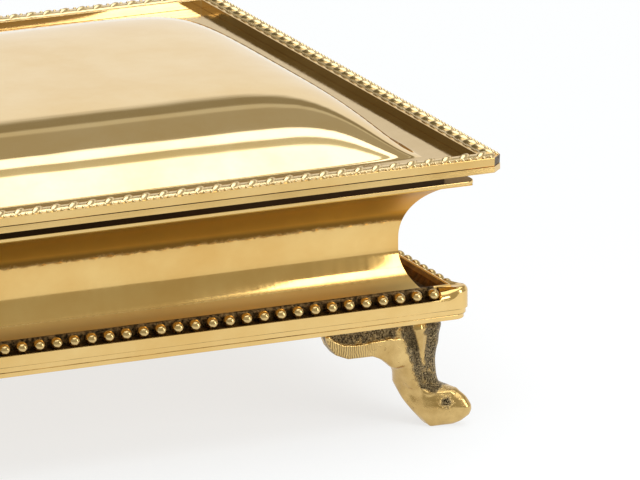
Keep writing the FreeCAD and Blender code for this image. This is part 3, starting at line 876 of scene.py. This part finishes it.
def makeMoulding():
    m = moulding
    end, top, edge = m["channelEnd"], m["ridgeTop"], m["crestEdge"]
    runs = [end + ring["past"], end, *m["lips"]]
    before = [("before", run) for run in runs]
    after = [("after", run) for run in reversed(runs)]
    rows = [(0.0, floorTop)]
    rows += [channelRow(*row) for row in m["channelRows"]]
    rows += [
        (m["ridgeFoot"] + edge, top),
        (m["crest"] - edge, top),
        (m["crest"], top - edge),
        (m["slopeMiddle"], m["slopeLevel"]),
        (m["ledgeStart"], m["ledge"]),
        (m["inner"], m["ledge"]),
        (m["inner"], floorTop),
    ]
    bm = sweepRing(baseHalf, baseCorner, before + arcStations(ring["cornerSteps"]) + after, rows)
    materials = [polishedBrass, channelPatina, troughDarkBrass, slopePatina]
    paintFaces(bm, materials, mouldingLook)
    nodes = onSides("base_moulding_")
    newPiece("baseMoulding", bm, materials, "box", nodes, m["sharp"])


makeMoulding()
print("base moulding made")


# pearls in the channel; pairs of settings are for the long sides and the ends

pearls = {
    "inset": 1.6, "size": 2.75, "rise": 2.6, "cells": (10, 7), "low": (27.85, 27.3),
    "pitch": 3.9, "counts": (48, 32), "sharp": 60.0,
}


def pearlPlaces():
    for number in range(4):
        pair = number % 2
        count = pearls["counts"][pair]
        out = baseHalf[1 - pair] - pearls["inset"]
        level = pearls["low"][pair] + pearls["rise"] / 2
        for step in range(count):
            yield standOnSide(number, (step - (count - 1) / 2) * pearls["pitch"], out, level)


def pearlLook(face):
    centre = face.calc_center_median() / mm
    atEnd = baseHalf[0] - abs(centre.x) < baseHalf[1] - abs(centre.y)
    # pearls along the ends take the painted-shade copy
    return shadedEndPearlBrass if atEnd else pearlBrass


def makePearls():
    bm = bmesh.new()
    pearl = makeBall(pearls["cells"])
    size = inMetres(pearls["size"] / 2, pearls["size"] / 2, pearls["rise"] / 2)
    ops.scale(pearl, vec=size, verts=pearl.verts)
    addCopies(bm, pearl, pearlPlaces())
    materials = [pearlBrass, shadedEndPearlBrass]
    paintFaces(bm, materials, pearlLook)
    nodes = onSides("base_pearls_")
    newPiece("basePearls", bm, materials, "box", nodes, pearls["sharp"])


makePearls()
print("pearls made")


# cast feet: two wings with a raised border, a leg on the corner's diagonal and a club toe

foot = {
    "sharp": 60.0, "voxel": 0.25, "smoothing": 3,
    # wings: along the side from the corner, and up
    "wingOutline": [
        (15.0, 23.4), (32.6, 23.4), (32.4, 22.3), (31.6, 20.1), (30.0, 18.1), (27.4, 17.0),
        (24.4, 16.9), (21.4, 16.8), (19.4, 15.9), (17.6, 14.3), (16.6, 13.3), (15.0, 13.0),
    ],
    # the border lies between this part of the outline and an inner edge
    "borderPart": slice(2, 11),
    "borderInner": [
        (11.5, 14.5), (12.5, 17.5), (14.4, 19.8), (17.5, 20.3), (21.0, 20.1),
        (25.0, 19.8), (28.2, 20.2), (30.4, 21.3), (31.6, 22.6),
    ],
    "wingFace": 3.0, "wingRecess": 0.9, "wingBack": 6.5, "borderBack": 6.1,
    # joint of leg and wings: levels, reach along the sides, smoothing
    "blend": (9.0, 16.8), "blendReach": 18.5, "blending": 40,
    # strap: level, and ends along the diagonal; notch: its ends, low and high
    "strap": (7.2, 3.2, 9.0), "strapRise": 0.3, "strapSpread": 0.35, "strapFade": 2.0,
    "notch": (4.0, 5.6, 4.5, 6.3), "notchDepth": 0.45,
}
# leg sections: level, outer and inner end along the diagonal, half width, edge of the smooth band,
# depth of the sunk knee, and start and end of its rib as shares of the way to the outer end
legRows = [
    (0.0, 4.6, 9.9, 3.4, 7.0, 0.0, 0.5, 0.5),
    (0.5, 3.2, 10.6, 3.9, 7.0, 0.0, 0.5, 0.5),
    (1.6, 1.6, 11.6, 4.4, 7.0, 0.0, 0.5, 0.5),
    (3.4, 0.3, 13.4, 4.6, 7.0, 0.0, 0.5, 0.5),
    (5.2, 0.9, 15.1, 4.4, 7.0, 0.0, 0.5, 0.5),
    (6.6, 2.2, 16.1, 4.1, 7.2, 0.0, 0.5, 0.5),
    (7.6, 4.2, 16.7, 4.1, 8.2, 0.15, 0.5, 0.5),
    (8.3, 7.2, 17.0, 4.4, 9.8, 0.35, 0.5, 0.5),
    (9.6, 7.9, 17.3, 5.1, 10.7, 0.55, 0.5, 0.5),
    (11.8, 8.3, 17.0, 6.3, 10.9, 0.75, 0.52, 0.52),
    (14.1, 8.4, 18.6, 6.9, 11.0, 0.95, 0.5, 0.56),
    (16.4, 8.0, 20.2, 7.5, 11.7, 1.05, 0.48, 0.62),
    (19.1, 7.7, 21.2, 8.1, 12.6, 1.05, 0.46, 0.70),
    (23.4, 8.1, 22.2, 8.6, 13.4, 0.9, 0.44, 0.80),
]
# shape of the sections: widths, and ways from the band's edge to the outer end, are shares
leg = {
    # rounded inner side: mm from the inner end, and width
    "innerSide": [(0.0, 0.35), (0.6, 0.68), (1.8, 0.9)],
    "middleWidth": 0.98, "pastBand": 0.3,
    # knee: way to its start, way to its end and its lift there, width it runs out to
    "kneeStart": 0.16, "kneeEnd": (0.96, 0.4), "kneeWidth": 0.18, "leastWidth": 0.12,
    "endWidth": 0.08,
    # rib: level where it starts, height over which it rises, width of its slopes, its rise
    "ribLow": 12.0, "ribFade": 2.0, "ribSlope": 0.1, "ribRise": 0.15,
}
# where the casting is grainy or filed, in mm from the corner, from the side and up
footLook = {
    "borderDeep": 3.4, "panelDeep": 5.2, "panelAlong": 15.0, "panelLevel": 16.0,
    "backAlong": 14.0, "backLevel": 12.0, "backGrain": 0.7, "kneeLevel": 7.4, "kneeShare": 0.08,
    "toeEnd": 6.6, "toeTop": 9.5, "ribLevel": 13.0, "ribSlack": 0.03, "notchGrain": 1.8,
    "grainBlur": 7, "filedAlong": (20.0, 32.6), "filedTop": 21.5, "filedFade": 6.0,
}


def legAt(level):
    # the section at any level, between the two listed ones
    for low, high in zip(legRows, legRows[1:]):
        if level <= high[0]:
            share = max(0.0, (level - low[0]) / (high[0] - low[0]))
            return [first + (second - first) * share for first, second in zip(low, high)]
    return list(legRows[-1])


def legSection(row):
    level, outer, inner, wide, edge, sunk, ribStart, ribEnd = row
    half = [(inner - way, wide * width) for way, width in leg["innerSide"]]
    half.append(((inner + edge) / 2, wide * leg["middleWidth"]))
    band = edge + leg["pastBand"]
    half.append((band, wide))
    lift = min(1.0, max(0.0, (level - leg["ribLow"]) / leg["ribFade"]))
    ribFoot, ribBack = ribStart - leg["ribSlope"], ribEnd + leg["ribSlope"]
    knee = [(leg["kneeStart"], 0.0), (ribFoot, 0.0), (ribStart, lift), (ribEnd, lift), (ribBack, 0.0)]
    for share, raised in knee + [leg["kneeEnd"]]:
        plain = wide + (wide * leg["kneeWidth"] - wide) * share
        width = plain - sunk * (1.0 - raised) + leg["ribRise"] * raised
        half.append((band - (band - outer) * share, max(width, wide * leg["leastWidth"])))
    half.append((outer, wide * leg["endWidth"]))
    outline = half + [(along, -across) for along, across in reversed(half)]
    spots = [((along - across) * root, (along + across) * root, level) for along, across in outline]
    return [Vector(spot) * mm for spot in spots]


def makeLeg():
    bm, bottom, top = stackRings([legSection(row) for row in legRows])
    ops.contextual_create(bm, geom=bottom)
    ops.contextual_create(bm, geom=top)
    ops.subdivide_edges(bm, edges=bm.edges, cuts=1, use_grid_fill=True, smooth=0.8)
    fixNormals(bm)
    return bm


def plateFromOutline(outline, front, back):
    bm = bmesh.new()
    face = bm.faces.new([bm.verts.new(inMetres(along, front, level)) for along, level in outline])
    grown = ops.extrude_face_region(bm, geom=[face])["geom"]
    ops.translate(bm, vec=inMetres(0.0, back - front, 0.0), verts=onlyVerts(grown))
    fixNormals(bm)
    return bm


def mirrorOnDiagonal(bm):
    # swaps the two sides of the corner
    ops.rotate(bm, cent=(0, 0, 0), matrix=Matrix.Rotation(-quarter, 3, "Z"), verts=bm.verts)
    ops.scale(bm, vec=(1.0, -1.0, 1.0), verts=bm.verts)
    fixNormals(bm)


def addWings(bm):
    # on both sides of the corner: a plate with its face sunk, and the raised border
    wing = foot["wingOutline"]
    border = wing[foot["borderPart"]] + foot["borderInner"]
    panelFace = foot["wingFace"] + foot["wingRecess"]
    plans = ((wing, panelFace, foot["wingBack"]), (border, foot["wingFace"], foot["borderBack"]))
    for outline, front, back in plans:
        for mirrored in (False, True):
            part = plateFromOutline(outline, front, back)
            if mirrored:
                mirrorOnDiagonal(part)
            addCopies(bm, part, [Matrix.Identity(4)])


def fuseCasting(bm):
    # voxels join the overlapping parts into one casting with soft inner corners
    mesh = toMesh("casting", bm)
    blank = addObject("casting", mesh)
    voxels = blank.modifiers.new("voxels", "REMESH")
    voxels.mode = "VOXEL"
    voxels.voxel_size = foot["voxel"] * mm
    bpy.context.view_layer.update()
    solid = bpy.data.meshes.new_from_object(blank.evaluated_get(bpy.context.evaluated_depsgraph_get()))
    fused = bmesh.new()
    fused.from_mesh(solid)
    bpy.data.objects.remove(blank)
    bpy.data.meshes.remove(mesh)
    bpy.data.meshes.remove(solid)
    low, high, reach = inMetres(*foot["blend"], foot["blendReach"])
    joint = [vert for vert in fused.verts if low < vert.co.z < high and max(vert.co.x, vert.co.y) < reach]
    smoothVerts(fused, fused.verts[:], foot["smoothing"], "xyz")
    smoothVerts(fused, joint, foot["blending"], "xyz")
    return fused


def notchAt(diagonal, height):
    # 1 in the middle of the notch, falling to 0 round its edge
    near, far, low, high = foot["notch"]
    across = (2 * diagonal - near - far) / (far - near)
    up = (2 * height - low - high) / (high - low)
    return math.exp(-across ** 2 - up ** 2)


def sculptToe(bm):
    # the strap across the toe, and the notch under it on both sides
    level, start, end = foot["strap"]
    bm.normal_update()
    for vert in bm.verts:
        diagonal = (vert.co.x + vert.co.y) / mm * root
        height = vert.co.z / mm
        push = 0.0
        if start < diagonal < end:
            fade = min(1.0, diagonal - start, (end - diagonal) / foot["strapFade"])
            push = foot["strapRise"] * fade * math.exp(-((height - level) / foot["strapSpread"]) ** 2)
        push -= foot["notchDepth"] * notchAt(diagonal, height)
        vert.co += vert.normal * push * mm


def grainAt(along, deep, level, inward):
    # grainy: the wings' sunk faces and backs, the knee beside the rib, and the notch
    f = footLook
    diagonal = (along + deep) * root
    grain = 0.0
    if f["borderDeep"] < deep < f["panelDeep"] and along > f["panelAlong"] and level > f["panelLevel"]:
        grain = 1.0
    if inward > facing["half"] and along > f["backAlong"] and level > f["backLevel"]:
        grain = f["backGrain"]
    _, outer, _, _, edge, _, ribStart, ribEnd = legAt(level)
    band = edge + leg["pastBand"]
    share = (band - diagonal) / (band - outer)
    offToe = diagonal > f["toeEnd"] or level > f["toeTop"]
    if level > f["kneeLevel"] and share > f["kneeShare"] and offToe:
        onRib = level > f["ribLevel"] and ribStart - f["ribSlack"] < share < ribEnd + f["ribSlack"]
        grain = 0.0 if onRib else 1.0
    return max(grain, f["notchGrain"] * notchAt(diagonal, level))


def filedAt(along, deep, level):
    # filed: the outer part of the wings' borders
    start, end = footLook["filedAlong"]
    onBorder = deep < footLook["borderDeep"] and start < along < end and level < footLook["filedTop"]
    return min(1.0, (along - start) / footLook["filedFade"]) if onBorder else 0.0


def blurLayer(bm, layer, passes):
    # each point takes the mean of itself and its neighbours
    for _ in range(passes):
        means = []
        for vert in bm.verts:
            near = [edge.other_vert(vert)[layer] for edge in vert.link_edges]
            means.append((vert[layer] + sum(near)) / (1 + len(near)))
        for vert, mean in zip(bm.verts, means):
            vert[layer] = mean


def markLook(bm):
    # attributes for the material, found alike on both sides of the corner
    grain = bm.verts.layers.float.new("castGrain")
    filed = bm.verts.layers.float.new("fileMarks")
    bm.normal_update()
    for vert in bm.verts:
        along, deep = max(vert.co.x, vert.co.y) / mm, min(vert.co.x, vert.co.y) / mm
        inward = vert.normal.y if vert.co.x > vert.co.y else vert.normal.x
        level = vert.co.z / mm
        vert[grain] = grainAt(along, deep, level, inward)
        vert[filed] = filedAt(along, deep, level)
    blurLayer(bm, grain, footLook["grainBlur"])


def makeFeet():
    bm = makeLeg()
    addWings(bm)
    casting = fuseCasting(bm)
    sculptToe(casting)
    markLook(casting)
    for vert in casting.verts:
        vert.co.z = min(max(vert.co.z, 0.0), footTop * mm)
    for number, (name, (signX, signY)) in enumerate(corners.items()):
        one = casting.copy()
        turn = Matrix.Rotation((number + 2) * quarter, 3, "Z")
        ops.rotate(one, cent=(0, 0, 0), matrix=turn, verts=one.verts)
        place = inMetres(signX * baseHalf[0], signY * baseHalf[1], 0.0)
        ops.translate(one, vec=place, verts=one.verts)
        nodes = ["foot_" + name]
        newPiece("castFoot_" + name, one, [castBrass], "box", nodes, foot["sharp"])
    casting.free()


makeFeet()
print("feet made")


# frame nodes that stay as they are: wooden lining and hinges

def dressNodes():
    for name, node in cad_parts.items():
        if name.startswith("liner_") or name == "lid_lining":
            finish = shadeDarkenedLiningWood
        elif name.startswith("hinge_"):
            finish = polishedBrass
        else:
            continue
        node.data.materials.clear()
        node.data.materials.append(finish)


dressNodes()
print("lining and hinges dressed")


# floor, light and camera

stage = {
    "floorFront": -0.268, "floorReach": 3.0, "floorColour": (0.91, 0.95, 1.0),
    "floorRough": 0.9, "floorGlow": 0.72, "glowColour": (0.98, 0.988, 1.0),
    "cameraPlace": (-0.79603, -1.94595, 0.63202), "azimuth": -24.65, "elevation": 15.884,
    "lens": 581.13, "sensor": 36.0, "cameraReach": 50.0,
    # light by degrees above the horizon, behind on the right and left, and in front
    "bands": {
        "right": [
            ((0.96, 0.93, 0.88), 0.0),
            ((0.96, 0.92, 0.83), 22.5),
            ((0.30, 0.26, 0.17), 25.0, 28.5),
            ((0.60, 0.56, 0.44), 29.5, 31.0),
            ((0.42, 0.38, 0.28), 32.0, 44.5),
            ((2.20, 2.20, 2.20), 45.5, 50.0),
            ((0.60, 0.56, 0.42), 51.0),
            ((0.70, 0.66, 0.50), 54.5),
            ((2.20, 2.20, 2.12), 55.5, 90.0),
        ],
        "left": [
            ((0.16, 0.14, 0.09), 0.0, 40.0),
            ((0.45, 0.43, 0.36), 55.0),
            ((2.20, 2.20, 2.12), 58.0, 90.0),
        ],
        "front": [
            ((0.48, 0.46, 0.38), 0.0),
            ((0.52, 0.50, 0.42), 50.0),
            ((2.20, 2.20, 2.12), 58.0, 90.0),
        ],
    },
    # where, along x and y of a direction, left turns into right and front into back
    "leftToRight": (-0.20, 0.10), "frontToBack": (-0.15, 0.15),
    # the bands' colours are divided by this in their ramps, and their light multiplied by it
    "bandScale": 3.0,
    # soft boxes before the right end of the front, facing back: place, width, height
    "softBoxes": {
        "lowBox": ((0.1885, -0.200, 0.059), 0.076, 0.066),
        "highBox": ((0.177, -0.200, 0.117), 0.094, 0.048),
    },
    "softBoxGlow": 5.0,
}


def makeFloorLook():
    # it glows for camera, mirror and transmission rays only
    material, tree, shader = newMaterial("paleFloor")
    colour = opaque(stage["floorColour"])
    look = {"Base Color": colour, "Roughness": stage["floorRough"], "Specular IOR Level": 0.0}
    setShader(tree, shader, look)
    path = addNode(tree, "LightPath").outputs
    seen = addMath(tree, "ADD", path["Is Camera Ray"], path["Is Glossy Ray"])
    seen = addMath(tree, "ADD", seen, path["Is Transmission Ray"])
    share = addMath(tree, "MULTIPLY", seen, stage["floorGlow"])
    glow = addNode(tree, "Emission", inputs={"Color": opaque(stage["glowColour"]), "Strength": 1.0})
    mixed = addShaderMix(tree, share, shader.outputs["BSDF"], glow.outputs["Emission"])
    tree.links.new(mixed, tree.nodes["Material Output"].inputs["Surface"])
    return material


def makeFloor():
    bm = bmesh.new()
    ops.create_grid(bm, x_segments=1, y_segments=1, size=stage["floorReach"])
    for vert in bm.verts:
        vert.co.y = max(vert.co.y, stage["floorFront"])
    mesh = toMesh("studioFloor", bm)
    mesh.materials.append(makeFloorLook())
    floor = addObject("studioFloor", mesh)


def addBand(tree, height, levels):
    stops = []
    for colour, *angles in levels:
        scaled = tuple(part / stage["bandScale"] for part in colour)
        stops += [(math.sin(math.radians(angle)), scaled) for angle in angles]
    return addRamp(tree, height, stops)


def makeWorld():
    world = bpy.data.worlds.new("studioLight")
    bpy.context.scene.world = world
    world.use_nodes = True
    tree = world.node_tree
    tree.nodes.clear()
    way = splitCoords(tree, addNode(tree, "TexCoord").outputs["Generated"])
    bands = {name: addBand(tree, way["Z"], levels) for name, levels in stage["bands"].items()}
    right = addRange(tree, way["X"], *stage["leftToRight"], 0.0, 1.0)
    behind = addRange(tree, way["Y"], *stage["frontToBack"], 0.0, 1.0)
    light = addMix(tree, behind, bands["front"], addMix(tree, right, bands["left"], bands["right"]))
    lamp = addNode(tree, "Background", inputs={"Color": light, "Strength": stage["bandScale"]})
    white = addNode(tree, "Background", inputs={"Color": (1.0, 1.0, 1.0, 1.0), "Strength": 1.0})
    seen = addNode(tree, "LightPath").outputs["Is Camera Ray"]
    mixed = addShaderMix(tree, seen, lamp.outputs["Background"], white.outputs["Background"])
    output = addNode(tree, "OutputWorld")
    tree.links.new(mixed, output.inputs["Surface"])


def makeSoftBoxes():
    for name, (place, width, height) in stage["softBoxes"].items():
        lamp = bpy.data.lights.new(name, "AREA")
        lamp.shape = "RECTANGLE"
        lamp.size = width
        lamp.size_y = height
        lamp.energy = stage["softBoxGlow"] * math.pi * width * height
        box = addObject(name, lamp)
        box.location = place
        box.rotation_euler = (quarter, 0.0, 0.0)
        box.visible_camera = False


def makeCamera():
    data = bpy.data.cameras.new("photoCamera")
    data.sensor_width = stage["sensor"]
    data.lens = stage["lens"]
    data.clip_end = stage["cameraReach"]
    camera = addObject("photoCamera", data)
    camera.location = stage["cameraPlace"]
    camera.rotation_euler = (math.radians(90.0 - stage["elevation"]), 0.0, math.radians(stage["azimuth"]))
    bpy.context.scene.camera = camera


makeFloor()
makeWorld()
makeSoftBoxes()
makeCamera()
bpy.context.scene.view_settings.view_transform = "Standard"
print("stage set")
